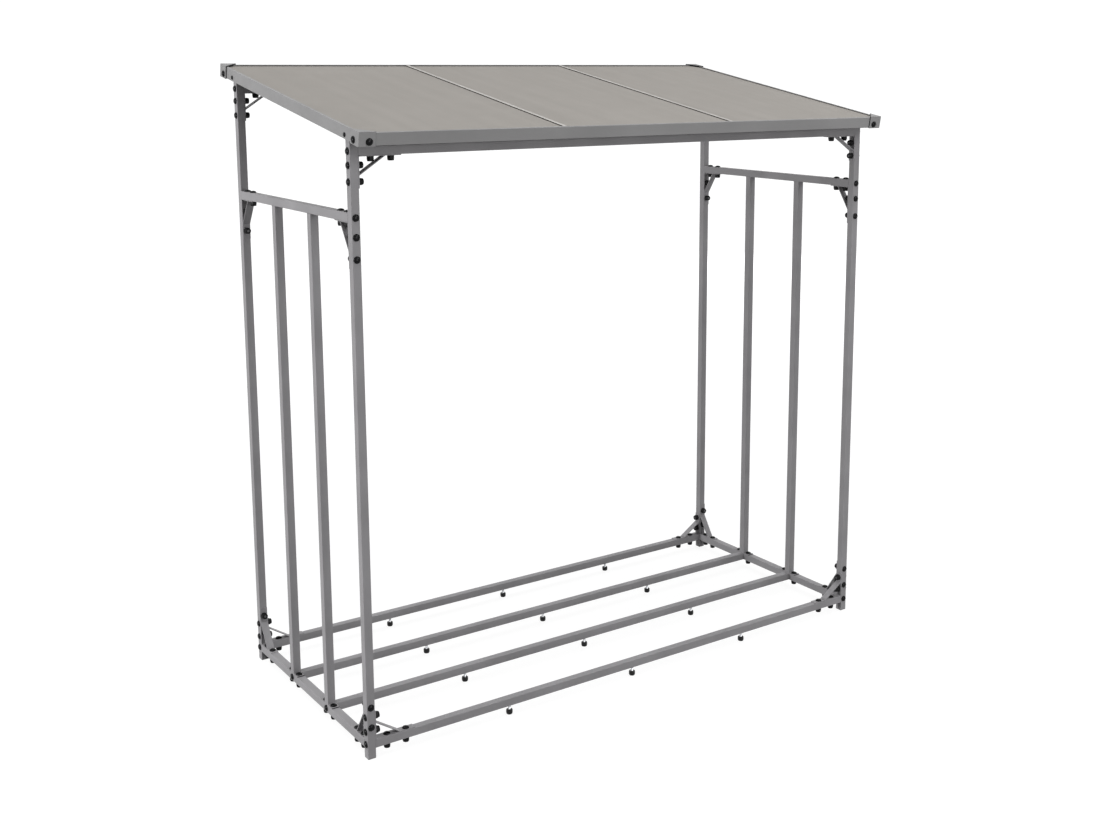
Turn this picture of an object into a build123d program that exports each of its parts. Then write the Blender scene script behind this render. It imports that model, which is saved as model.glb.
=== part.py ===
from build123d import *
from math import cos, radians, sin, tan
import os

# A freestanding log store: an open frame of bolted square steel tube under a sloping metal roof.
# The origin is on the floor in the middle of the whole object. +X is to the right seen from the
# open front, +Y is to the back and +Z is up.

# Square tube that every post and rail is cut from
tube = 25.0
tube_wall = 1.2
tube_corner = 1.5

# Frame, measured over the outside of the four posts
frame_width = 1923.0
frame_depth = 846.0
rail_lift = 31.0            # floor to the underside of the floor rails
upright_setback = 278.0     # outer face of a post to the near face of the next upright
side_rail_height = 1559.0   # floor to the underside of the upper side rails
front_rail_drop = 20.0      # roof rim down to the upper front rail, at the front posts
rear_rail_drop = 10.5       # roof rim down to the upper rear rail, at the rear posts

# Plates under the uprights, and plugs in the feet of the posts
plate_sheet = 2.5
plate_reach = 28.0          # how far a plate runs out in front of and behind its upright
plug_flange = 3.0
plug_depth = 15.0
plug_gap = 0.3

# Corner braces, bent from strap
brace_strap = 2.5
brace_width = 24.0
brace_long_leg = 128.0
brace_short_leg = 88.0
brace_long_tie = 80.0       # corner to the middle of the diagonal, along the long leg
brace_short_tie = 53.0      # corner to the middle of the diagonal, along the short leg
brace_bend = 1.0            # inside radius where the strap turns the corner

# Levelling feet under the floor rails
foot_spacing = 471.0
foot_row_offset = -8.0      # middle of the store to the middle foot of each row
foot_cup_base_radius = 8.8
foot_cup_top_radius = 10.2
foot_cup_height = 14.7
foot_stud_radius = 4.5
foot_stud_seat = 6.0        # floor to the bottom of the stud inside its cup
foot_stud_gap = 0.2

# Roof rim, a channel that opens inwards all round
roof_angle = 10.0
roof_length = 1020.0        # along the slope, over the rim
roof_front_height = 1768.0  # floor to the lower front edge of the rim
rim_depth = 8.0
rim_height = 36.0
rim_sheet = 1.2
rim_fold = 0.5              # inside radius of the folds

# Roof panels, shallow trays turned down along all four edges
panel_sheet = 0.8
panel_fold = 0.6            # inside radius of the folds
panel_drop = 4.0            # top of the rim down to the face of the panels
panel_gap = 0.5             # rim to panel
middle_panel_width = 630.0  # from the middle of one seam to the middle of the other
post_top_gap = 2.0          # post to the underside of the panel above it

# Strips that close the seams between the panels, T-shaped in section
strip_width = 11.0
strip_sheet = 1.1
strip_rise = 2.5            # face of the panels to the underside of the strip
strip_gap = 0.2             # stem of the strip to the panel on each side
strip_end_gap = 0.5         # cap of the strip to the rim at each end

# Caps over the corners of the rim
cap_wall = 3.2
cap_leg = 50.0
cap_drop = 1.3              # underside of the rim down to the lower edge of the caps
cap_round = 1.5

# Levels and places that follow from the sizes above
post_x = (frame_width - tube) / 2
post_y = (frame_depth - tube) / 2
upright_y = frame_depth / 2 - upright_setback - tube / 2
rail_top = rail_lift + tube
slope = tan(radians(roof_angle))
cap_height = cap_drop + rim_height + cap_wall
roof_start_y = -(roof_length * cos(radians(roof_angle)) - cap_height * sin(radians(roof_angle))) / 2
rim_half_width = frame_width / 2 + rim_depth
panel_top = rim_height - panel_drop
roof_plane = Pos(0, roof_start_y, roof_front_height) * Rot(roof_angle, 0, 0)


def level_in_roof(y, height):
    """Height above the floor of a plane of the roof, `height` above the underside of the rim."""
    return roof_front_height + height / cos(radians(roof_angle)) + (y - roof_start_y) * slope


def tube_along(direction, start, length):
    """A length of tube whose end is centred on `start` and that runs along `direction`."""
    section = RectangleRounded(tube, tube, tube_corner)
    bore = tube - 2 * tube_wall
    section -= Rectangle(bore, bore)
    return Plane(origin=start, z_dir=direction, x_dir=cross_direction(direction)) * extrude(section, length)


def cross_direction(direction):
    """A direction square to a tube, so that its faces lie square to the frame."""
    return (0, 1, 0) if direction == (1, 0, 0) else (1, 0, 0)


def make_posts():
    """Four posts, from the plugs in their feet to just under the roof panels."""
    posts = {}
    for side, x in (("left", -post_x), ("right", post_x)):
        for end, y in (("front", -post_y), ("rear", post_y)):
            top = level_in_roof(y - tube / 2, panel_top - panel_sheet) - post_top_gap
            posts[f"post_{end}_{side}"] = tube_along((0, 0, 1), (x, y, plug_flange), top - plug_flange)
    return posts


def make_plugs():
    """A plug in the foot of each post: a flange as wide as the tube, and a body that fits inside."""
    body = tube - 2 * tube_wall - 2 * plug_gap
    flange = extrude(RectangleRounded(tube, tube, tube_corner), plug_flange)
    edges = flange.faces().sort_by(Axis.Z)[0].edges()
    plug = chamfer(edges, plug_flange / 3)
    plug += extrude(Rectangle(body, body), plug_flange + plug_depth)
    places = [Pos(x, y, 0) for x in (-post_x, post_x) for y in (-post_y, post_y)]
    return {"post_foot_plugs": Compound([place * plug for place in places])}


def make_rails():
    """Side rails between the posts of each side, floor rails and the two upper rails."""
    rails = {}
    span_x = frame_width - 2 * tube
    span_y = frame_depth - 2 * tube
    for side, x in (("left", -post_x), ("right", post_x)):
        for level, underside in (("lower", rail_lift), ("upper", side_rail_height)):
            start = (x, -span_y / 2, underside + tube / 2)
            rails[f"side_rail_{level}_{side}"] = tube_along((0, 1, 0), start, span_y)
    floor_rails = (("front", -post_y), ("mid_front", -upright_y), ("mid_rear", upright_y), ("rear", post_y))
    for name, y in floor_rails:
        rails[f"floor_rail_{name}"] = tube_along((1, 0, 0), (-span_x / 2, y, rail_lift + tube / 2), span_x)
    for name, y, level in (("front", -post_y, front_rail_level), ("rear", post_y, rear_rail_level)):
        rails[f"upper_rail_{name}"] = tube_along((1, 0, 0), (-span_x / 2, y, level + tube / 2), span_x)
    return rails


def make_uprights():
    """Two uprights in each side, each welded to a plate that is bolted down on the side rail."""
    uprights = {}
    plate_length = tube + 2 * plate_reach
    for side, x in (("left", -post_x), ("right", post_x)):
        for end, y in (("front", -upright_y), ("rear", upright_y)):
            plate = Pos(x, y, rail_top + plate_sheet / 2) * Box(tube, plate_length, plate_sheet)
            start = rail_top + plate_sheet
            post = tube_along((0, 0, 1), (x, y, start), side_rail_height - start)
            uprights[f"upright_{end}_{side}"] = plate + post
    return uprights


def make_brace():
    """One brace: a long leg along +X, a short leg along +Z and a diagonal strap between them."""
    corner = (Align.MIN, Align.MIN)
    legs = Rectangle(brace_long_leg, brace_strap, align=corner)
    legs += Rectangle(brace_strap, brace_short_leg, align=corner)
    legs = fillet(legs.vertices().sort_by_distance((0, 0))[0], brace_bend + brace_strap)
    legs = fillet(legs.vertices().sort_by_distance((brace_strap, brace_strap))[0], brace_bend)
    long_end = Vector(brace_long_tie, brace_strap / 2)
    short_end = Vector(brace_strap / 2, brace_short_tie)
    along = (short_end - long_end).normalized()
    across = Vector(-along.Y, along.X) * (brace_strap / 2)
    diagonal = Polyline(
        long_end - across, long_end + across, short_end + across, short_end - across, close=True
    )
    legs += make_face(diagonal)
    legs &= Rectangle(brace_long_leg, brace_short_leg, align=corner)
    return extrude(Plane.XZ * legs, brace_width / 2, both=True)


def make_braces():
    """Braces at both ends of the four outer rails that run across, and of the four side rails."""
    brace = make_brace()
    braces = {}
    for side, sx in (("left", -1), ("right", 1)):
        for end, sy in (("front", -1), ("rear", 1)):
            rail_level = front_rail_level if end == "front" else rear_rail_level
            inner_x = sx * (frame_width / 2 - tube)
            inner_y = sy * (frame_depth / 2 - tube)
            seats = {
                f"brace_floor_{end}_{side}": ((inner_x, sy * post_y, rail_top), (-sx, 0, 0), (0, 0, 1)),
                f"brace_roof_{end}_{side}": ((inner_x, sy * post_y, rail_level), (-sx, 0, 0), (0, 0, -1)),
                f"brace_side_lower_{end}_{side}": ((sx * post_x, inner_y, rail_top), (0, 0, 1), (0, -sy, 0)),
                f"brace_side_upper_{end}_{side}": (
                    (sx * post_x, inner_y, side_rail_height), (0, 0, -1), (0, -sy, 0)
                ),
            }
            for name, (corner, long_leg, short_leg) in seats.items():
                braces[name] = Plane(origin=corner, x_dir=long_leg, z_dir=short_leg) * brace
    return braces


def make_feet():
    """Three levelling feet under each floor rail: a cup on the floor and a stud up to the rail."""
    standing = (Align.CENTER, Align.CENTER, Align.MIN)
    cup = Cone(foot_cup_base_radius, foot_cup_top_radius, foot_cup_height, align=standing)
    socket = Cylinder(foot_stud_radius + foot_stud_gap, foot_cup_height, align=standing)
    cup -= Pos(0, 0, foot_stud_seat) * socket
    stud = Cylinder(foot_stud_radius, rail_lift - foot_stud_seat, align=standing)
    stud = Pos(0, 0, foot_stud_seat) * stud
    rows = (-post_y, -upright_y, upright_y, post_y)
    columns = [foot_row_offset + step * foot_spacing for step in (-1, 0, 1)]
    places = [Pos(x, y, 0) for y in rows for x in columns]
    return {
        "foot_cups": Compound([place * cup for place in places]),
        "foot_studs": Compound([place * stud for place in places]),
    }


def rim_section():
    """Section of the rim: an upright web at the outside and two flanges that point inwards (+X)."""
    section = Rectangle(rim_depth, rim_height, align=(Align.MIN, Align.MIN))
    section = fillet(section.vertices().group_by(Axis.X)[0], rim_fold + rim_sheet)
    hollow = Rectangle(rim_depth, rim_height - 2 * rim_sheet, align=(Align.MIN, Align.MIN))
    hollow = fillet(hollow.vertices().group_by(Axis.X)[0], rim_fold)
    return section - Pos(rim_sheet, rim_sheet) * hollow


def make_rim():
    """Roof rim: two sides at full length, bolted to the posts, and a front and a rear between them."""
    side = extrude(Plane.XZ * rim_section(), -roof_length)
    left = Pos(-rim_half_width, 0, 0) * side
    right = mirror(left, Plane.YZ)
    front = extrude(Plane.YZ * rim_section(), frame_width / 2, both=True)
    rear = mirror(front, Plane.XZ.offset(-roof_length / 2))
    pieces = {"left": left, "right": right, "front": front, "rear": rear}
    return {f"roof_rim_{name}": roof_plane * piece for name, piece in pieces.items()}


def make_panel(left, right):
    """A tray between two places across the roof, standing on the lower flanges of the rim."""
    inset = rim_sheet + panel_gap
    width = right - left
    depth = panel_top - rim_sheet
    length = roof_length - 2 * inset
    corner = (Align.MIN, Align.MIN)
    face = Rectangle(width, depth, align=corner)
    face = fillet(face.vertices().group_by(Axis.Y)[-1], panel_fold + panel_sheet)
    bay = Rectangle(width - 2 * panel_sheet, depth - panel_sheet, align=corner)
    bay = fillet(bay.vertices().group_by(Axis.Y)[-1], panel_fold)
    tray = extrude(Plane.XZ * face, -length)
    hollow = extrude(Plane.XZ * bay, -(length - 2 * panel_sheet))
    tray -= Pos(panel_sheet, panel_sheet, 0) * hollow
    return roof_plane * Pos(left, inset, rim_sheet) * tray


def make_panels():
    """Three roof panels side by side inside the rim, with a seam left open between neighbours."""
    outer = rim_half_width - rim_sheet - panel_gap
    seam = middle_panel_width / 2
    half_gap = strip_sheet / 2 + strip_gap
    return {
        "roof_panel_left": make_panel(-outer, -seam - half_gap),
        "roof_panel_middle": make_panel(-seam + half_gap, seam - half_gap),
        "roof_panel_right": make_panel(seam + half_gap, outer),
    }


def make_joint_strips():
    """A strip in each seam: its stem stands on the rim between two panels, its cap covers the seam."""
    upright = (Align.CENTER, Align.MIN, Align.MIN)
    stem_inset = rim_sheet + panel_gap
    stem_height = panel_top + strip_rise - rim_sheet
    stem = Box(strip_sheet, roof_length - 2 * stem_inset, stem_height, align=upright)
    strip = Pos(0, stem_inset, rim_sheet) * stem
    cap_inset = rim_depth + strip_end_gap
    cap = Box(strip_width, roof_length - 2 * cap_inset, strip_sheet, align=upright)
    strip += Pos(0, cap_inset, panel_top + strip_rise) * cap
    seam = middle_panel_width / 2
    return {"roof_joint_strips": Compound([roof_plane * Pos(x, 0, 0) * strip for x in (-seam, seam)])}


def make_caps():
    """A cap at each corner of the rim: two upright legs and a three-cornered plate on top."""
    outer_x = rim_half_width + cap_wall
    reach = cap_leg - cap_wall
    corner = (Align.MAX, Align.MIN, Align.MIN)
    leg_height = cap_drop + rim_height
    side_leg = Pos(outer_x, -cap_wall, -cap_drop) * Box(cap_wall, cap_leg, leg_height, align=corner)
    front_leg = Pos(outer_x, -cap_wall, -cap_drop) * Box(cap_leg, cap_wall, leg_height, align=corner)
    plate_outline = Polyline(
        (outer_x, -cap_wall), (outer_x, reach), (rim_half_width - reach, -cap_wall), close=True
    )
    top = extrude(make_face(plate_outline), cap_wall)
    cap = side_leg + front_leg + Pos(0, 0, rim_height) * top
    front_right = fillet(cap.edges().sort_by_distance((outer_x, -cap_wall, 0))[0], cap_round)
    front_left = mirror(front_right, Plane.YZ)
    middle = Plane.XZ.offset(-roof_length / 2)
    caps = [front_left, front_right, mirror(front_left, middle), mirror(front_right, middle)]
    return {"roof_corner_caps": Compound([roof_plane * piece for piece in caps])}


front_rail_level = level_in_roof(-post_y, 0) - front_rail_drop - tube
rear_rail_level = level_in_roof(post_y, 0) - rear_rail_drop - tube

nodes = {}
nodes.update(make_posts())
nodes.update(make_plugs())
nodes.update(make_rails())
nodes.update(make_uprights())
nodes.update(make_braces())
nodes.update(make_feet())
nodes.update(make_rim())
nodes.update(make_panels())
nodes.update(make_joint_strips())
nodes.update(make_caps())

os.makedirs("parts", exist_ok=True)
for name, shape in nodes.items():
    export_step(shape, f"parts/{name}.step")
print(len(nodes), "nodes written")
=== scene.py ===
import bpy
import math
import numpy as np
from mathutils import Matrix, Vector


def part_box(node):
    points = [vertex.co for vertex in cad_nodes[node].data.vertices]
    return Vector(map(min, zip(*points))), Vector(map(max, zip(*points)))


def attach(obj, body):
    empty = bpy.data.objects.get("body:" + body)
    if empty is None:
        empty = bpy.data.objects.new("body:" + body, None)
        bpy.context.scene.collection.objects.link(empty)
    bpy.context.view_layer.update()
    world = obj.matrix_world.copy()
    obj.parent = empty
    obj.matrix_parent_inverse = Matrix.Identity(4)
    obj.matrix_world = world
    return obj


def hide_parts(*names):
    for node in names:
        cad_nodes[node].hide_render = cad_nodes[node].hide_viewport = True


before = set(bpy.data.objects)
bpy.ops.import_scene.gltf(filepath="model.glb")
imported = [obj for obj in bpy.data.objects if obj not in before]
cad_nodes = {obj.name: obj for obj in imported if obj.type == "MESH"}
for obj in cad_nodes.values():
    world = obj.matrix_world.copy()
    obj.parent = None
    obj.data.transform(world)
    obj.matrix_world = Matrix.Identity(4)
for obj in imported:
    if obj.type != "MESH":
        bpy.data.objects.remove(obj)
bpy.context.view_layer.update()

# The frame's tube: posts, rails and uprights. Each is a square steel tube, cut to length, washed and
# powder coated in a satin mid grey. The coat has the fine ripple of orange peel, small shifts of
# shade where it cured thicker, and a gloss that is never quite even.
PAINT_GREY = (0.304, 0.297, 0.308)
PAINT_SHADE = 0.10
PAINT_ROUGHNESS = 0.50
GLOSS_SHIFT = 0.06
TUBE_CLOUDS = 9.0
CLOUD_DETAIL = 6.0
GLOSS_FINER = 4
GLOSS_DETAIL = 3.0
PEEL_NOISE = (1100.0, 2.0)
PEEL_DEPTH = 0.00012
RELIEF_STRENGTH = 0.5
NOISE_LOW, NOISE_HIGH = 0.3, 0.7
FACTOR, FIRST_COLOUR, SECOND_COLOUR, MIXED_COLOUR = 0, 6, 7, 2


def new_finish(name, specular):
    """An empty finish: its material, and its tree with the shader whose constant gloss is set here."""
    finish = bpy.data.materials.new(name)
    finish.use_nodes = True
    tree = finish.node_tree
    tree.nodes["Principled BSDF"].inputs["Specular IOR Level"].default_value = specular
    return finish, tree


def put(tree, kind, settings=None, **inputs):
    """Puts one node in a tree, with its settings and the values of its named inputs."""
    node = tree.nodes.new(kind)
    for key, value in (settings or {}).items():
        setattr(node, key, value)
    for key, value in inputs.items():
        node.inputs[key.replace("_", " ")].default_value = value
    return node


def noise_on_object(tree, scale, detail, stretch=(1.0, 1.0, 1.0)):
    """Noise that lies still on the piece: its own coordinates, stretched, then a noise of this scale
    and detail, so that a named noise is a pair of the two."""
    place = put(tree, "ShaderNodeTexCoord")
    turned = put(tree, "ShaderNodeMapping", Scale=stretch)
    noise = put(tree, "ShaderNodeTexNoise", Scale=scale, Detail=detail)
    tree.links.new(place.outputs["Object"], turned.inputs["Vector"])
    tree.links.new(turned.outputs["Vector"], noise.inputs["Vector"])
    return noise.outputs["Fac"]


def spread(tree, source, low, high):
    """Stretches the middle of a noise over the span from low to high."""
    span = put(
        tree, "ShaderNodeMapRange",
        From_Min=NOISE_LOW, From_Max=NOISE_HIGH, To_Min=low, To_Max=high,
    )
    tree.links.new(source, span.inputs["Value"])
    return span.outputs["Result"]


def two_shades(tree, source, colour, shade):
    """The colour a little darker and a little lighter, mixed by the source: colour times 1 -+ shade.
    The mix node has a set of sockets for each kind of value, so the colour's are told by number."""
    mix = put(tree, "ShaderNodeMix", {"data_type": "RGBA"})
    for socket, share in ((FIRST_COLOUR, 1 - shade), (SECOND_COLOUR, 1 + shade)):
        mix.inputs[socket].default_value = [channel * share for channel in colour] + [1.0]
    tree.links.new(spread(tree, source, 0.0, 1.0), mix.inputs[FACTOR])
    tree.links.new(mix.outputs[MIXED_COLOUR], tree.nodes["Principled BSDF"].inputs["Base Color"])


def vary_gloss(tree, source, roughness, shift):
    """A roughness that the source moves by up to the shift to either side, joined to the shader."""
    gloss = spread(tree, source, roughness - shift, roughness + shift)
    tree.links.new(gloss, tree.nodes["Principled BSDF"].inputs["Roughness"])


def relief(tree, source, depth, strength=RELIEF_STRENGTH):
    """A bump of this depth in metres from the source, joined to the shader."""
    bump = put(tree, "ShaderNodeBump", Strength=strength, Distance=depth)
    tree.links.new(source, bump.inputs["Height"])
    tree.links.new(bump.outputs["Normal"], tree.nodes["Principled BSDF"].inputs["Normal"])


def powder_coat(name, colour, roughness, cloud_scale, specular=0.40, stretch=(1.0, 1.0, 1.0)):
    """Powder coat, or the like skin of a plastic, or the near black of the strips of painted shade.
    Clouds, about cloud_scale of them in a metre, shift its shade, smaller patches shift its gloss,
    and a fine peel is its relief."""
    finish, tree = new_finish(name, specular)
    clouds = noise_on_object(tree, cloud_scale, CLOUD_DETAIL, stretch)
    two_shades(tree, clouds, colour, PAINT_SHADE)
    patches = noise_on_object(tree, cloud_scale * GLOSS_FINER, GLOSS_DETAIL)
    vary_gloss(tree, patches, roughness, GLOSS_SHIFT)
    relief(tree, noise_on_object(tree, *PEEL_NOISE), PEEL_DEPTH)
    return finish


def coat_nodes(finish, slot, *starts):
    """Gives this finish to each CAD node whose name begins with one of the starts."""
    for node_name, piece in cad_nodes.items():
        if node_name.startswith(starts):
            piece.data.materials.clear()
            piece.data.materials.append(finish)


tube_coat = powder_coat("tube_coat", PAINT_GREY, PAINT_ROUGHNESS, TUBE_CLOUDS)
coat_nodes(
    tube_coat, "frame_steel",
    "post_front", "post_rear", "side_rail", "floor_rail", "upper_rail", "upright",
)

# The plugs in the feet of the posts. They are moulded in a grey close to the paint and pushed into
# the tube, so that only their flange shows. The moulding is duller than the paint, and its shade
# shifts in smaller patches.
PLUG_GREY = (0.270, 0.268, 0.274)
PLUG_ROUGHNESS = 0.62
PLUG_CLOUDS = 60.0
plug_plastic = powder_coat("plug_plastic", PLUG_GREY, PLUG_ROUGHNESS, PLUG_CLOUDS)
coat_nodes(plug_plastic, "plug_plastic", "post_foot_plugs")

# The corner braces. Each is a strap bent to a right angle with a flat diagonal welded in, coated
# like the tube. Both ends of each diagonal have a weld bead on both sides.
STRAP = 0.0025
DIAGONAL_ON_LONG_LEG = 0.0781
DIAGONAL_ON_SHORT_LEG = 0.0522
BEAD_OUT_LONG = 0.0023
BEAD_OUT_SHORT = 0.0015
BRACE_HALF_WIDTH = 0.0115
BEAD_RADIUS = 0.0010
RIPPLE_LENGTH = 0.0018
RIPPLE_DEPTH = 0.12
BEAD_BLUNTNESS = 8
BEAD_TIP = 0.02
ASKEW = (0.3, 0.5, 0.81)
BRACE_ROUGHNESS = 0.48
BRACE_CLOUDS = 24.0
CREASE = math.radians(32)
X, Y, Z = 0, 1, 2
SIDES = (("left", -1), ("right", 1))
ENDS = (("front", -1), ("rear", 1))

brace_coat = powder_coat("brace_coat", PAINT_GREY, BRACE_ROUGHNESS, BRACE_CLOUDS)
coat_nodes(brace_coat, "brace_steel", "brace")


def middle(node_name):
    """The middle of a CAD node's box."""
    lowest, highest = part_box(node_name)
    return (np.array(lowest) + np.array(highest)) / 2


def unit(axis, way):
    """A direction of length one along an axis, towards plus or minus."""
    direction = np.zeros(3)
    direction[axis] = way
    return direction


def brace_seat(node_name, long_axis, long_way, short_axis, short_way, long_tube, short_tube):
    """A brace as its bolts and welds need it: the corner where its legs meet, halfway across the
    strap, the directions of both legs, and the tubes that the legs lie on."""
    lowest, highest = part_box(node_name)
    corner = middle(node_name)
    for axis, way in ((long_axis, long_way), (short_axis, short_way)):
        corner[axis] = (lowest if way > 0 else highest)[axis]
    return corner, unit(long_axis, long_way), unit(short_axis, short_way), long_tube, short_tube


braces = []
for side, sx in SIDES:
    for end, sy in ENDS:
        post = f"post_{end}_{side}"
        for level, rail, up in (("floor", "floor_rail", 1), ("roof", "upper_rail", -1)):
            name = f"brace_{level}_{end}_{side}"
            braces.append(brace_seat(name, X, -sx, Z, up, f"{rail}_{end}", post))
        for level, up in (("lower", 1), ("upper", -1)):
            name = f"brace_side_{level}_{end}_{side}"
            braces.append(brace_seat(name, Z, up, Y, -sy, post, f"side_rail_{level}_{side}"))


def rings_to_piece(name, grid):
    """Rings of points, as copies x rings x points, made into one mesh: each ring is joined to the
    next by quads and the first and last are closed by one face each. Seen against the way that the
    rings go, their points run anticlockwise, so that the faces point outwards. Edges sharper than
    the crease stay sharp."""
    copies, rings, around = grid.shape[:3]
    index = np.arange(copies * rings * around).reshape(copies, rings, around)
    beyond = np.roll(index, -1, axis=2)
    quads = np.stack([index[:, :-1], beyond[:, :-1], beyond[:, 1:], index[:, 1:]], axis=-1)
    faces = quads.reshape(-1, 4).tolist() + index[:, -1].tolist() + index[:, 0, ::-1].tolist()
    mesh = bpy.data.meshes.new(name)
    mesh.from_pydata(grid.reshape(-1, 3), [], faces)
    mesh.polygons.foreach_set("use_smooth", np.ones(len(faces), bool))
    mesh.set_sharp_from_angle(angle=CREASE)
    mesh.update()
    piece = bpy.data.objects.new(name, mesh)
    bpy.context.scene.collection.objects.link(piece)
    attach(piece, "root")
    return piece


def weld_beads(name, runs, radius, stations=30, around=6):
    """Weld beads, each a rippled sausage along a run. At the share s of the run and the angle a the
    point lies r(s) from the run's line, with r = radius * (1 - (2s - 1)^8)^(1/2) * (1 + ripple),
    where the ripple is a cosine along the run. At both ends what is under the root stays at a small
    value, so that a bead ends blunt. runs holds pairs of end points, and none lies along ASKEW."""
    starts = np.array([start for start, _ in runs])
    ends = np.array([end for _, end in runs])
    lengths = np.linalg.norm(ends - starts, axis=1)
    along = (ends - starts) / lengths[:, None]
    across = np.cross(along, ASKEW)
    across /= np.linalg.norm(across, axis=1)[:, None]
    beside = np.cross(along, across)
    share = np.linspace(0.0, 1.0, stations)
    taper = np.sqrt(np.maximum(1 - (2 * share - 1) ** BEAD_BLUNTNESS, BEAD_TIP))
    ripple = 1 + RIPPLE_DEPTH * np.cos(2 * np.pi * lengths[:, None] * share / RIPPLE_LENGTH)
    reach = radius * taper * ripple
    angles = np.arange(around) * (2 * np.pi / around)
    grid = (
        starts[:, None, None]
        + (lengths[:, None] * share)[:, :, None, None] * along[:, None, None]
        + (reach[:, :, None] * np.cos(angles))[..., None] * across[:, None, None]
        + (reach[:, :, None] * np.sin(angles))[..., None] * beside[:, None, None]
    )
    return rings_to_piece(name, grid)


runs = []
for corner, long_way, short_way, _, _ in braces:
    width = np.cross(long_way, short_way) * BRACE_HALF_WIDTH
    for out in (-BEAD_OUT_LONG, BEAD_OUT_LONG):
        spot = corner + (DIAGONAL_ON_LONG_LEG + out) * long_way + STRAP * short_way
        runs.append((spot - width, spot + width))
    for out in (-BEAD_OUT_SHORT, BEAD_OUT_SHORT):
        spot = corner + (DIAGONAL_ON_SHORT_LEG + out) * short_way + STRAP * long_way
        runs.append((spot - width, spot + width))
brace_welds = weld_beads("brace_weld_beads", runs, BEAD_RADIUS)
brace_welds.data.materials.append(brace_coat)

# The feet of the uprights. Each stands on a plate that is bolted down on the lower side rail. A weld
# bead runs along the foot's front and back, and a thin black strip at the plate's ends is painted
# shade: the dark line of the shadow under the plate's edge.
TUBE = 0.025
FOOT_BEAD_RADIUS = 0.0016
FOOT_BEAD_HALF = 0.0110
SHADE_LINE_HEIGHT = 0.0021
SHADE_LINE_THICKNESS = 0.0015
SHADE_LINE_HALF_LENGTH = 0.0122


def edge_strips(name, strips, around=9):
    """Straight strips with a rounded back. strips holds tuples: start, end, the direction in which
    the back looks, half the width and the thickness. The profile is half an ellipse of power four
    across the width, |u|^4 + |v|^4 = 1 with u the share of the half width and v of the thickness."""
    starts, ends, ups = (np.array([strip[i] for strip in strips], float) for i in range(3))
    halves, thicknesses = (np.array([strip[i] for strip in strips], float) for i in (3, 4))
    along = ends - starts
    along /= np.linalg.norm(along, axis=1)[:, None]
    ups /= np.linalg.norm(ups, axis=1)[:, None]
    aside = np.cross(ups, along)
    turn = np.linspace(0.0, np.pi, around)
    wide = np.sign(np.cos(turn)) * np.sqrt(np.abs(np.cos(turn)))
    high = np.sqrt(np.abs(np.sin(turn)))
    ring = (
        halves[:, None, None] * wide[None, :, None] * aside[:, None, :]
        + thicknesses[:, None, None] * high[None, :, None] * ups[:, None, :]
    )
    grid = np.stack([starts[:, None] + ring, ends[:, None] + ring], axis=1)
    return rings_to_piece(name, grid)


# Thin black strips at the plates' ends are painted shade, the shadow line under each plate's edge.
runs, plate_shade_lines = [], []
for side, _ in SIDES:
    for end, _ in ENDS:
        foot = middle(f"upright_{end}_{side}")
        lowest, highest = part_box(f"upright_{end}_{side}")
        for sy in (-1, 1):
            spot = np.array([foot[X], foot[Y] + sy * TUBE / 2, lowest[Z] + STRAP])
            runs.append((spot - [FOOT_BEAD_HALF, 0, 0], spot + [FOOT_BEAD_HALF, 0, 0]))
            edge_y = (lowest if sy < 0 else highest)[Y]
            spot = np.array([foot[X], edge_y, lowest[Z] + SHADE_LINE_HEIGHT / 2])
            reach = np.array([SHADE_LINE_HALF_LENGTH, 0, 0])
            plate_shade_lines.append((spot - reach, spot + reach, unit(Y, sy), SHADE_LINE_HEIGHT / 2, SHADE_LINE_THICKNESS))
foot_welds = weld_beads("upright_weld_beads", runs, FOOT_BEAD_RADIUS)
foot_welds.data.materials.append(tube_coat)

# Near black for painted shade: thin strips at the plates, the caps and the joint strips draw the dark
# shadow lines of gaps and edges.
SHADE_BLACK = (0.012, 0.012, 0.013)
SHADE_BLACK_ROUGHNESS = 0.75
SHADE_BLACK_CLOUDS = 180.0
shade_black = powder_coat("painted_shade_black", SHADE_BLACK, SHADE_BLACK_ROUGHNESS, SHADE_BLACK_CLOUDS, specular=0.2)
plate_shade = edge_strips("upright_plate_painted_shade", plate_shade_lines)
plate_shade.data.materials.append(shade_black)

# The bolts. Every joint has black carriage bolts, domed heads outside or on top and black lock nuts
# inside or below. The heads are cold forged and blackened, and the nuts are hexagons with a round
# collar that grips the thread, whose bare end shows in the middle.
HEAD_RADIUS = 0.0105
HEAD_RIM = 0.0011
HEAD_HEIGHT = 0.0062
DOME_TURN = 0.46 * np.pi
LONG_LEG_BOLTS = (0.0410, 0.1020)
SHORT_LEG_BOLTS = (0.0255, 0.0705)
NUT_HALF_FLATS = 0.0095
NUT_CORNER = 0.0108
NUT_COLLAR = 0.0092
NUT_HEX_HEIGHT = 0.0100
NUT_HEIGHT = 0.0145
NUT_CHAMFER = 0.0008
NUT_SHOULDER = 0.00128
NUT_STEP = 0.0003
LIP_ROUND = 0.0016
LIP_CORNER = 0.00048
BORE_RADIUS = 0.0050
BORE_CHAMFER = 0.0004
BORE_DIP = 0.0020
BOLT_RADIUS = 0.0044
BOLT_END_FOOT, BOLT_END_HEIGHT = 0.0115, 0.0140
END_CHAMFER_IN, END_CHAMFER_DOWN = 0.0006, 0.0005
NEARLY_ALONG = 0.9


def head_profile(radius, rim, height, steps=6):
    """A domed head: a short rim, then a quarter of an ellipse, r = radius * cos(t) and
    h = rim + (height - rim) * sin(t), that ends in a small flat just short of the top."""
    turn = np.linspace(0.0, DOME_TURN, steps)
    heights = np.concatenate([[0.0], rim + (height - rim) * np.sin(turn)])
    return heights, np.concatenate([[radius], radius * np.cos(turn)])


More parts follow.
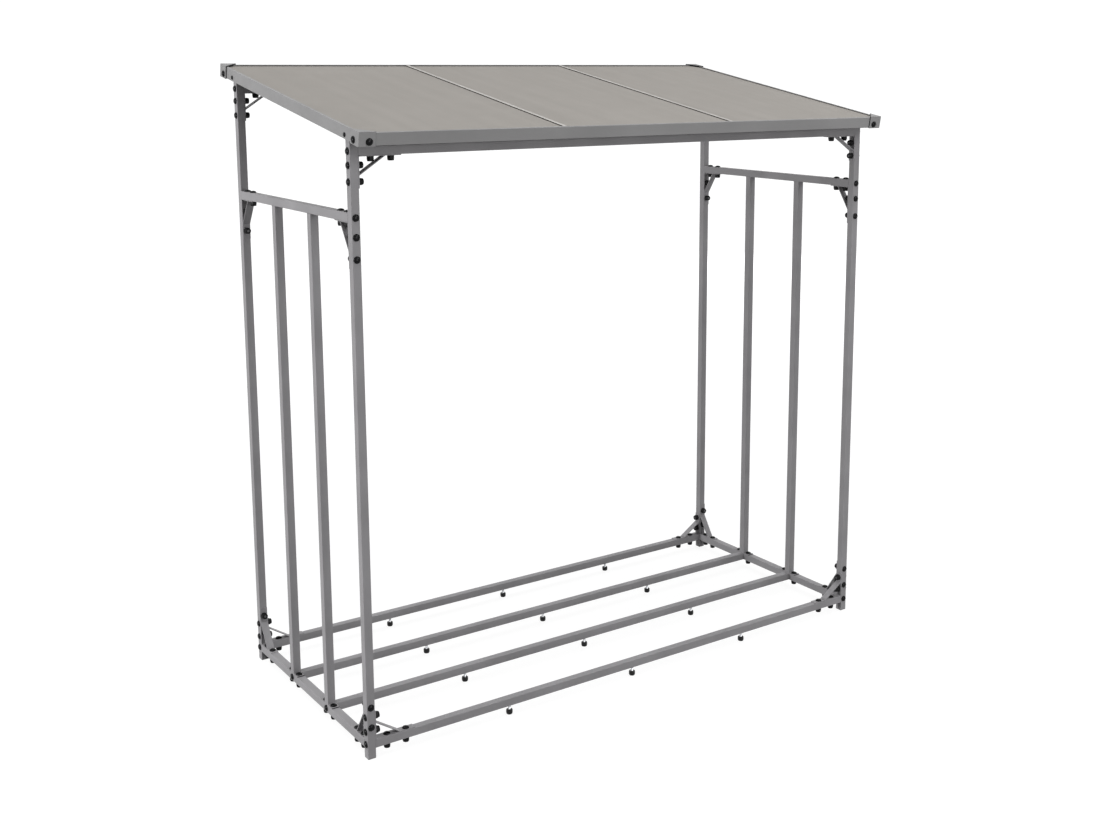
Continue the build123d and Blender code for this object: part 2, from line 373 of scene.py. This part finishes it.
def nut_profile():
    """A lock nut from its seat up, as pairs of height and radius: a chamfered hexagon, a step, a
    collar with a rounded lip, and a dip in which the bolt's end stands."""
    outline = np.array([
        (0.0, NUT_CORNER - NUT_CHAMFER),
        (NUT_CHAMFER, NUT_CORNER),
        (NUT_HEX_HEIGHT - NUT_CHAMFER, NUT_CORNER),
        (NUT_HEX_HEIGHT, NUT_CORNER - NUT_SHOULDER),
        (NUT_HEX_HEIGHT + NUT_STEP, NUT_COLLAR),
        (NUT_HEIGHT - LIP_ROUND, NUT_COLLAR),
        (NUT_HEIGHT - LIP_CORNER, NUT_COLLAR - LIP_CORNER),
        (NUT_HEIGHT, NUT_COLLAR - LIP_ROUND),
        (NUT_HEIGHT, BORE_RADIUS + BORE_CHAMFER),
        (NUT_HEIGHT - BORE_DIP, BORE_RADIUS),
    ])
    return outline[:, 0], outline[:, 1]


def turned_pieces(name, seats, profile, half_flats=None, around=20):
    """Equal turned pieces in one mesh. At the angle a and the height h of the profile a point lies
    r(h) from the piece's own axis. With half_flats, r is at most the reach of a hexagon at that
    angle, half_flats / cos(angle to the nearest flat). seats holds pairs: a point and an axis. The
    angle starts square to the axis and to X, or to Y where the axis lies nearly along X."""
    heights, radii = profile
    points = np.array([point for point, _ in seats], float)
    axes = np.array([axis for _, axis in seats], float)
    axes /= np.linalg.norm(axes, axis=1)[:, None]
    other = np.where(np.abs(axes[:, :1]) < NEARLY_ALONG, unit(X, 1), unit(Y, 1))
    across = np.cross(axes, other)
    across /= np.linalg.norm(across, axis=1)[:, None]
    beside = np.cross(axes, across)
    angles = np.arange(around) * (2 * np.pi / around)
    reach = np.broadcast_to(radii[:, None], (len(radii), around))
    if half_flats is not None:
        off_flat = (angles + np.pi / 6) % (np.pi / 3) - np.pi / 6
        reach = np.minimum(reach, half_flats / np.cos(off_flat))
    grid = (
        points[:, None, None]
        + heights[None, :, None, None] * axes[:, None, None]
        + (reach * np.cos(angles))[None, :, :, None] * across[:, None, None]
        + (reach * np.sin(angles))[None, :, :, None] * beside[:, None, None]
    )
    return rings_to_piece(name, grid)


def seat_on(node_name, axis, way, point):
    """A bolt's seat on a tube: the point moved along the axis on to the tube's face on that side,
    and the direction in which the face looks."""
    seat = np.array(point, float)
    lowest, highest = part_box(node_name)
    seat[axis] = (lowest if way < 0 else highest)[axis]
    return seat, unit(axis, way)


heads, nuts = [], []
for corner, long_way, short_way, long_tube, short_tube in braces:
    for leg, other, tube_name, offsets in (
        (long_way, short_way, long_tube, LONG_LEG_BOLTS),
        (short_way, long_way, short_tube, SHORT_LEG_BOLTS),
    ):
        axis = int(np.argmax(np.abs(other)))
        way = int(other[axis])
        for offset in offsets:
            point = corner + offset * leg
            inner = (point + STRAP * other, other)
            outer = seat_on(tube_name, axis, -way, point)
            head_inside = axis == Z and way > 0
            heads.append(inner if head_inside else outer)
            nuts.append(outer if head_inside else inner)

# Bolts of the rails and of the uprights' plates, of the same kind. The floor rails are bolted
# through the left posts from the side and through the right posts from the front and the back.
PLATE_BOLT = 0.0265
for side, sx in SIDES:
    upper_side = middle(f"side_rail_upper_{side}")
    lower_side = middle(f"side_rail_lower_{side}")
    for end, sy in ENDS:
        post = f"post_{end}_{side}"
        x, y, _ = middle(post)
        floor_z = middle(f"floor_rail_{end}")[Z]
        heads.append(seat_on(post, X, sx, (x, y, middle(f"upper_rail_{end}")[Z])))
        heads.append(seat_on(post, Y, sy, (x, y, upper_side[Z])))
        heads.append(seat_on(post, *((X, sx) if sx < 0 else (Y, sy)), (x, y, floor_z)))
        upright = f"upright_{end}_{side}"
        foot = middle(upright)
        heads.append(seat_on(f"side_rail_lower_{side}", X, sx, (foot[X], foot[Y], lower_side[Z])))
        for way in (-1, 1):
            spot = np.array([foot[X], foot[Y] + way * PLATE_BOLT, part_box(upright)[0][Z] + STRAP])
            heads.append((spot, unit(Z, 1)))
            nuts.append(seat_on(f"side_rail_lower_{side}", Z, -1, spot))

HEAD_BLACK = (0.0110, 0.0110, 0.0116)
HEAD_ROUGHNESS = 0.16
NUT_BLACK = (0.0045, 0.0045, 0.0050)
NUT_ROUGHNESS = 0.39
BLACK_SPECULAR = 0.11
BLACK_GLOSS_SHIFT = 0.05
MOTTLE_SHADE = 0.25
MOTTLE_NOISE, SHEEN_NOISE, PIT_NOISE = (260.0, 4.0), (520.0, 3.0), (1900.0, 3.0)
PIT_DEPTH = 0.00006
END_GREY = (0.085, 0.085, 0.088)
END_ROUGHNESS = 0.60
STEEL_SPECULAR = 0.5
STEEL_GLOSS_SHIFT = 0.07
GRAIN_SHADE = 0.08
GRAIN_NOISE = (420.0, 5.0)
GRAIN_DEPTH = 0.00003


def blackened(name, colour, roughness, metallic):
    """Blackened steel: near black with a faint mottle, a tight gloss that varies, and fine pits."""
    finish, tree = new_finish(name, BLACK_SPECULAR)
    tree.nodes["Principled BSDF"].inputs["Metallic"].default_value = metallic
    two_shades(tree, noise_on_object(tree, *MOTTLE_NOISE), colour, MOTTLE_SHADE)
    vary_gloss(tree, noise_on_object(tree, *SHEEN_NOISE), roughness, BLACK_GLOSS_SHIFT)
    relief(tree, noise_on_object(tree, *PIT_NOISE), PIT_DEPTH)
    return finish


def bright_steel(name, colour, roughness):
    """Bare or plated steel: metallic, with a fine grain in shade, gloss and relief."""
    finish, tree = new_finish(name, STEEL_SPECULAR)
    tree.nodes["Principled BSDF"].inputs["Metallic"].default_value = 1.0
    grain = noise_on_object(tree, *GRAIN_NOISE)
    two_shades(tree, grain, colour, GRAIN_SHADE)
    vary_gloss(tree, grain, roughness, STEEL_GLOSS_SHIFT)
    relief(tree, grain, GRAIN_DEPTH)
    return finish


head_black = blackened("bolt_head_black", HEAD_BLACK, HEAD_ROUGHNESS, metallic=1.0)
nut_black = blackened("lock_nut_black", NUT_BLACK, NUT_ROUGHNESS, metallic=0.0)
bolt_steel = bright_steel("bolt_end_steel", END_GREY, END_ROUGHNESS)
dome = head_profile(HEAD_RADIUS, HEAD_RIM, HEAD_HEIGHT)
bolt_heads = turned_pieces("bolt_heads", heads, dome)
bolt_heads.data.materials.append(head_black)
lock_nuts = turned_pieces("lock_nuts", nuts, nut_profile(), NUT_HALF_FLATS, around=24)
lock_nuts.data.materials.append(nut_black)
end_heights = np.array([BOLT_END_FOOT, BOLT_END_HEIGHT - END_CHAMFER_DOWN, BOLT_END_HEIGHT])
end_radii = np.array([BOLT_RADIUS, BOLT_RADIUS, BOLT_RADIUS - END_CHAMFER_IN])
bolt_ends = turned_pieces("bolt_ends", nuts, (end_heights, end_radii), around=16)
bolt_ends.data.materials.append(bolt_steel)

# The levelling feet under the floor rails. A black moulded cup with a rounded belly stands on the
# floor and turns on a zinc plated stud, whose thread screws up into the rail.
CUP_RADII = (0.0074, 0.0085, 0.0093, 0.0100, 0.0103, 0.0103, 0.0102, 0.0099, 0.0092, 0.0047)
CUP_HEIGHTS = (0.0, 0.0003, 0.0013, 0.0036, 0.0068, 0.0092, 0.0120, 0.0137, 0.0147, 0.0147)
CUP_BLACK = (0.0080, 0.0080, 0.0086)
CUP_ROUGHNESS = 0.42
CUP_CLOUDS = 140.0
STUD_RADIUS = 0.0045
THREAD_PITCH = 0.00125
THREAD_DEPTH = 0.00065
ZINC_GREY = (0.83, 0.84, 0.86)
ZINC_ROUGHNESS = 0.30
FEET_PER_RAIL = 3

cup_box, stud_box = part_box("foot_cups"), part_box("foot_studs")
rail_rows = [middle(f"floor_rail_{row}")[Y] for row in ("front", "mid_front", "mid_rear", "rear")]
cup_reach = (cup_box[1][Y] - cup_box[0][Y] - rail_rows[-1] + rail_rows[0]) / 2
columns = np.linspace(cup_box[0][X] + cup_reach, cup_box[1][X] - cup_reach, FEET_PER_RAIL)
feet = [((x, y, 0.0), unit(Z, 1)) for y in rail_rows for x in columns]
cups = turned_pieces("levelling_cups", feet, (np.array(CUP_HEIGHTS), np.array(CUP_RADII)), around=36)
cup_plastic = powder_coat("cup_black", CUP_BLACK, CUP_ROUGHNESS, CUP_CLOUDS, specular=0.22)
cups.data.materials.append(cup_plastic)
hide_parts("foot_cups")


def threaded_studs(name, seats, bottom, top, around=16, steps_per_turn=4):
    """Studs with a thread. At the angle a and height z the radius is the stud's radius less the
    depth times a triangle wave of z / pitch - a / (2 pi), so the crest climbs one pitch a turn."""
    heights = np.linspace(bottom, top, int((top - bottom) / THREAD_PITCH * steps_per_turn) + 1)
    angles = np.arange(around) * (2 * np.pi / around)
    phase = (heights[:, None] / THREAD_PITCH - angles / (2 * np.pi)) % 1.0
    reach = STUD_RADIUS - THREAD_DEPTH * np.abs(2 * phase - 1)
    feet_at = np.array([point for point, _ in seats])
    ring = np.stack([reach * np.cos(angles), reach * np.sin(angles)], axis=-1)
    rise = np.broadcast_to(heights[:, None, None], (*reach.shape, 1))
    return rings_to_piece(name, feet_at[:, None, None] + np.concatenate([ring, rise], axis=-1))


studs = threaded_studs("levelling_studs", feet, stud_box[0][Z], stud_box[1][Z])
studs.data.materials.append(bright_steel("zinc_plate", ZINC_GREY, ZINC_ROUGHNESS))
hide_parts("foot_studs")

# The roof rim and its corner caps. The rim is a folded channel, open inwards, bolted to the posts,
# with its four corners held by caps. Both are coated like the frame. Thin black strips along the
# caps' free edges are painted shade, the dark line of the shadowed gap at each edge, and at the
# slanting edge they reach down to the panel to fill the shadowed gap under it.
RIM_GREY = (0.291, 0.288, 0.290)
SLOPE = math.radians(10)
RIM_HEIGHT = 0.036
RIM_LENGTH = 1.020
RIM_DEPTH = 0.0080
CAP_WALL = 0.0032
CAP_LEG = 0.050
CAP_DROP = 0.0013
PANEL_FACE = 0.032
CAP_SHADE_THICKNESS = 0.0006
EDGE_INSET = 0.0003
FLANGE_GAP = 0.0002
PANEL_GAP = 0.0001
RIM_ROUGHNESS = 0.52
RIM_CLOUDS = 7.0
RIM_STRETCH = (0.5, 1.0, 1.0)
rim_coat = powder_coat("rim_coat", RIM_GREY, RIM_ROUGHNESS, RIM_CLOUDS, stretch=RIM_STRETCH)
coat_nodes(rim_coat, "roof_rim", "roof_rim", "roof_corner_caps")

up_slope = np.array([0.0, math.cos(SLOPE), math.sin(SLOPE)])
off_roof = np.array([0.0, -math.sin(SLOPE), math.cos(SLOPE)])
rim_low = np.array(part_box("roof_rim_left")[0])
rim_foot = np.array([0.0, rim_low[Y] + RIM_HEIGHT * math.sin(SLOPE), rim_low[Z]])
rim_x = -rim_low[X]


def on_roof(x, along, off):
    """A point of the roof: x across, the way up the slope from the rim's lower front edge, and the
    height square to the roof."""
    return rim_foot + np.array([x, 0.0, 0.0]) + along * up_slope + off * off_roof


def corner_place(sx, sy, inward, along):
    """From a corner of the rim to x and the way up the slope: inward from its side, and along the
    slope away from its front or rear."""
    return sx * (rim_x - inward), (along if sy < 0 else RIM_LENGTH - along)


# Black strips of painted shade along the caps' free edges; the lower ones fill the shadowed gap under the
# slanting edge.
cap_shade_lines = []
leg_end = CAP_LEG - CAP_WALL
flange_end = RIM_DEPTH + FLANGE_GAP
flange_far = leg_end - CAP_WALL - flange_end
low, high = -CAP_DROP, RIM_HEIGHT + CAP_WALL - EDGE_INSET
for _, sx in SIDES:
    for _, sy in ENDS:
        x, v = corner_place(sx, sy, -CAP_WALL / 2, leg_end)
        cap_shade_lines.append((on_roof(x, v, low), on_roof(x, v, high), -sy * up_slope, CAP_WALL / 2, CAP_SHADE_THICKNESS))
        x, v = corner_place(sx, sy, leg_end, -CAP_WALL / 2)
        cap_shade_lines.append((on_roof(x, v, low), on_roof(x, v, high), unit(X, -sx), CAP_WALL / 2, CAP_SHADE_THICKNESS))
        inward = unit(X, -sx) - sy * up_slope
        for near, far, bottom, top in (
            (-CAP_WALL + EDGE_INSET, leg_end - EDGE_INSET, RIM_HEIGHT, high),
            (flange_end, flange_far, PANEL_FACE + PANEL_GAP, RIM_HEIGHT),
        ):
            centre, half = (bottom + top) / 2, (top - bottom) / 2
            first = on_roof(*corner_place(sx, sy, near, far), centre)
            last = on_roof(*corner_place(sx, sy, far, near), centre)
            cap_shade_lines.append((first, last, inward, half, CAP_SHADE_THICKNESS))
cap_shade = edge_strips("cap_shade", cap_shade_lines)
cap_shade.data.materials.append(shade_black)

# The roof panels and the strips between them. Each panel is a shallow tray of coated sheet, warm
# grey and nearly matt, with faint streaks down the slope from rolling and rain. The strips are
# satin aluminium, and a thin black strip along both sides of each stem is painted shade, the dark
# shadow line under the strip's edges.
ROOF_GREY = (0.389, 0.368, 0.343)
ROOF_SPECULAR = 0.12
ROOF_ROUGHNESS = 0.77
MATT_SHIFT = 0.07
MATT_NOISE = (11.0, 4.0)
STREAK_NOISE = (3.2, 7.0)
STREAK_STRETCH = (6.0, 0.22, 1.0)
STREAK_SHADE = 0.030
ROOF_RELIEF = 0.4
STRIP_GREY = (0.50, 0.48, 0.455)
STRIP_ROUGHNESS = 0.45
STRIP_CLOUDS = 14.0
STRIP_STRETCH = (1.0, 0.2, 1.0)

sheet_coat, tree = new_finish("sheet_coat", ROOF_SPECULAR)
two_shades(tree, noise_on_object(tree, *STREAK_NOISE, STREAK_STRETCH), ROOF_GREY, STREAK_SHADE)
vary_gloss(tree, noise_on_object(tree, *MATT_NOISE), ROOF_ROUGHNESS, MATT_SHIFT)
relief(tree, noise_on_object(tree, *PEEL_NOISE), PEEL_DEPTH, ROOF_RELIEF)
coat_nodes(sheet_coat, "roof_sheet", "roof_panel")
strip_satin = powder_coat("strip_satin", STRIP_GREY, STRIP_ROUGHNESS, STRIP_CLOUDS, stretch=STRIP_STRETCH)
coat_nodes(strip_satin, "roof_strip", "roof_joint_strips")

STRIP_HALF_WIDTH = 0.0055
STRIP_TOP = 0.0356
STEM_HALF = 0.0009
JOINT_SHADE_HEIGHT = 0.0023
JOINT_SHADE_REACH = 0.0042
JOINT_SHADE_INSET = 0.001
strip_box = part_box("roof_joint_strips")
seam_x = strip_box[1][X] - STRIP_HALF_WIDTH
strip_start = (strip_box[0][Y] - rim_foot[Y] + STRIP_TOP * math.sin(SLOPE)) / math.cos(SLOPE)
joint_shade_start = strip_start + JOINT_SHADE_INSET
joint_shade_level = PANEL_FACE + PANEL_GAP + JOINT_SHADE_HEIGHT / 2
# Black strips of painted shade along both sides of each joint strip's stem, for the shadow line under its
# edges.
joint_shade_lines = []
for _, sx in SIDES:
    for way in (-1, 1):
        x = sx * seam_x + way * STEM_HALF
        first = on_roof(x, joint_shade_start, joint_shade_level)
        last = on_roof(x, RIM_LENGTH - joint_shade_start, joint_shade_level)
        joint_shade_lines.append((first, last, unit(X, way), JOINT_SHADE_HEIGHT / 2, JOINT_SHADE_REACH))
joint_shade = edge_strips("joint_shade", joint_shade_lines)
joint_shade.data.materials.append(shade_black)

# The bolts of the roof. One small screw joins the rim to each post from the side, and each cap has a
# carriage bolt in both legs, square to the leg.
SCREW_RADIUS = 0.00675
SCREW_RIM = 0.0008
SCREW_HEIGHT = 0.0042
SCREW_LEVEL = 0.012
CAP_BOLT_INSET = 0.0315
CAP_BOLT_LEVEL = 0.012
cap_bolts, rim_screws = [], []
for side, sx in SIDES:
    for end, sy in ENDS:
        along = (middle(f"post_{end}_{side}")[Y] - rim_foot[Y]) / math.cos(SLOPE)
        rim_screws.append((on_roof(sx * rim_x, along, SCREW_LEVEL), unit(X, sx)))
        x, v = corner_place(sx, sy, -CAP_WALL, CAP_BOLT_INSET - CAP_WALL)
        cap_bolts.append((on_roof(x, v, CAP_BOLT_LEVEL), unit(X, sx)))
        x, v = corner_place(sx, sy, CAP_BOLT_INSET - CAP_WALL, -CAP_WALL)
        cap_bolts.append((on_roof(x, v, CAP_BOLT_LEVEL), sy * up_slope))
cap_heads = turned_pieces("cap_bolt_heads", cap_bolts, dome)
screw_dome = head_profile(SCREW_RADIUS, SCREW_RIM, SCREW_HEIGHT)
rim_heads = turned_pieces("rim_screw_heads", rim_screws, screw_dome)
for piece in (cap_heads, rim_heads):
    piece.data.materials.append(head_black)

# The studio: a pale floor, a white world, and soft lamps from the left, the front, behind and above.
# The camera sees the floor as white but for the object's faint shadow, because to camera and gloss
# it also glows, a little less near the object than further off.
FLOOR_REACH = 80.0
FLOOR_GREY = (0.15, 0.15, 0.15, 1.0)
WHITE = (1.0, 1.0, 1.0, 1.0)
NEAR_REACH, FAR_REACH = 1.5, 6.0
NEAR_GLOW, FAR_GLOW = 0.91, 1.0
floor_mesh = bpy.data.meshes.new("studio_floor")
corners = FLOOR_REACH * np.array([[-1, -1, 0], [1, -1, 0], [1, 1, 0], [-1, 1, 0]])
floor_mesh.from_pydata(corners, [], [(0, 1, 2, 3)])
floor = bpy.data.objects.new("studio_floor", floor_mesh)
bpy.context.scene.collection.objects.link(floor)


def background_rays(tree):
    """1 for rays that come straight from the camera or by way of a gloss or a glass, otherwise 0."""
    path = put(tree, "ShaderNodeLightPath")
    gloss = put(tree, "ShaderNodeMath", {"operation": "MAXIMUM"})
    glass = put(tree, "ShaderNodeMath", {"operation": "MAXIMUM"})
    tree.links.new(path.outputs["Is Camera Ray"], gloss.inputs[0])
    tree.links.new(path.outputs["Is Glossy Ray"], gloss.inputs[1])
    tree.links.new(gloss.outputs[0], glass.inputs[0])
    tree.links.new(path.outputs["Is Transmission Ray"], glass.inputs[1])
    return glass.outputs[0]


floor_finish = bpy.data.materials.new("floor_white")
floor_finish.use_nodes = True
tree = floor_finish.node_tree
tree.nodes.clear()
shown = background_rays(tree)
matt_floor = put(tree, "ShaderNodeBsdfDiffuse", Color=FLOOR_GREY)
glow = put(tree, "ShaderNodeEmission", Color=WHITE)
place = put(tree, "ShaderNodeTexCoord")
distance = put(tree, "ShaderNodeVectorMath", {"operation": "LENGTH"})
strength = put(
    tree, "ShaderNodeMapRange",
    From_Min=NEAR_REACH, From_Max=FAR_REACH, To_Min=NEAR_GLOW, To_Max=FAR_GLOW,
)
lit = put(tree, "ShaderNodeAddShader")
choose = put(tree, "ShaderNodeMixShader")
surface = put(tree, "ShaderNodeOutputMaterial")
tree.links.new(place.outputs["Object"], distance.inputs[0])
tree.links.new(distance.outputs["Value"], strength.inputs["Value"])
tree.links.new(strength.outputs["Result"], glow.inputs["Strength"])
tree.links.new(matt_floor.outputs[0], lit.inputs[0])
tree.links.new(glow.outputs[0], lit.inputs[1])
tree.links.new(shown, choose.inputs["Fac"])
tree.links.new(matt_floor.outputs[0], choose.inputs[1])
tree.links.new(lit.outputs[0], choose.inputs[2])
tree.links.new(choose.outputs[0], surface.inputs["Surface"])
floor_mesh.materials.append(floor_finish)

WORLD_LEVEL = 0.16
SKY_SHOWN = 1.06
world = bpy.data.worlds.new("studio")
bpy.context.scene.world = world
world.use_nodes = True
tree = world.node_tree
tree.nodes.clear()
level = put(tree, "ShaderNodeMapRange", To_Min=WORLD_LEVEL, To_Max=SKY_SHOWN)
sky = put(tree, "ShaderNodeBackground", Color=WHITE)
surface = put(tree, "ShaderNodeOutputWorld")
tree.links.new(background_rays(tree), level.inputs["Value"])
tree.links.new(level.outputs["Result"], sky.inputs["Strength"])
tree.links.new(sky.outputs[0], surface.inputs["Surface"])


def studio_lamp(name, kind, place, target, power, spread_of_light):
    """A lamp at a place, turned towards its target. spread_of_light is a softbox's side in metres,
    or a sun's width in degrees."""
    lamp = bpy.data.lights.new(name, kind)
    lamp.energy = power
    if kind == "SUN":
        lamp.angle = math.radians(spread_of_light)
    else:
        lamp.shape = "SQUARE"
        lamp.size = spread_of_light
    holder = bpy.data.objects.new(name, lamp)
    bpy.context.scene.collection.objects.link(holder)
    away = np.array(target) - np.array(place)
    holder.location = place
    dip = math.atan2(-away[Z], math.hypot(away[X], away[Y]))
    holder.rotation_euler = (math.pi / 2 - dip, 0.0, -math.atan2(away[X], away[Y]))
    return holder


HALF_HEIGHT = (0.0, 0.0, 1.0)
GROUND = (0.0, 0.0, 0.0)
studio_lamp("left_softbox", "AREA", (-12.0, 1.4, 2.5), HALF_HEIGHT, 755.0, 2.4)
studio_lamp("front_softbox", "AREA", (0.5, -8.0, 1.6), HALF_HEIGHT, 132.0, 3.0)
studio_lamp("high_softbox", "AREA", (2.5, -6.0, 5.0), HALF_HEIGHT, 140.0, 3.0)
studio_lamp("top_light", "SUN", (-1.5, 0.0, 8.0), GROUND, 1.72, 60.0)
# The rear lamp only fills the sides that look away from the others, and leaves no glare.
rear_fill = studio_lamp("rear_softbox", "AREA", (7.0, 7.0, 2.2), HALF_HEIGHT, 320.0, 3.0)
rear_fill.visible_glossy = False

# The camera stands where the photograph was taken from: to the left of the open front, at the
# height of the roof. Its shift is the photograph's own framing.
CAMERA_PLACE = (-2.50936, -3.79419, 1.97588)
CAMERA_DIP = 0.16797
CAMERA_TURN = -0.61571
FILM_WIDTH = 36.0
FOCAL_LENGTH = 44.504
SHIFT_ACROSS, SHIFT_UP = -0.05025, -0.10488
camera_lens = bpy.data.cameras.new("camera")
camera = bpy.data.objects.new("camera", camera_lens)
bpy.context.scene.collection.objects.link(camera)
bpy.context.scene.camera = camera
camera.location = CAMERA_PLACE
camera.rotation_euler = (math.pi / 2 - CAMERA_DIP, 0.0, CAMERA_TURN)
camera_lens.sensor_width = FILM_WIDTH
camera_lens.lens = FOCAL_LENGTH
camera_lens.shift_x = SHIFT_ACROSS
camera_lens.shift_y = SHIFT_UP
bpy.context.scene.view_settings.view_transform = "Standard"
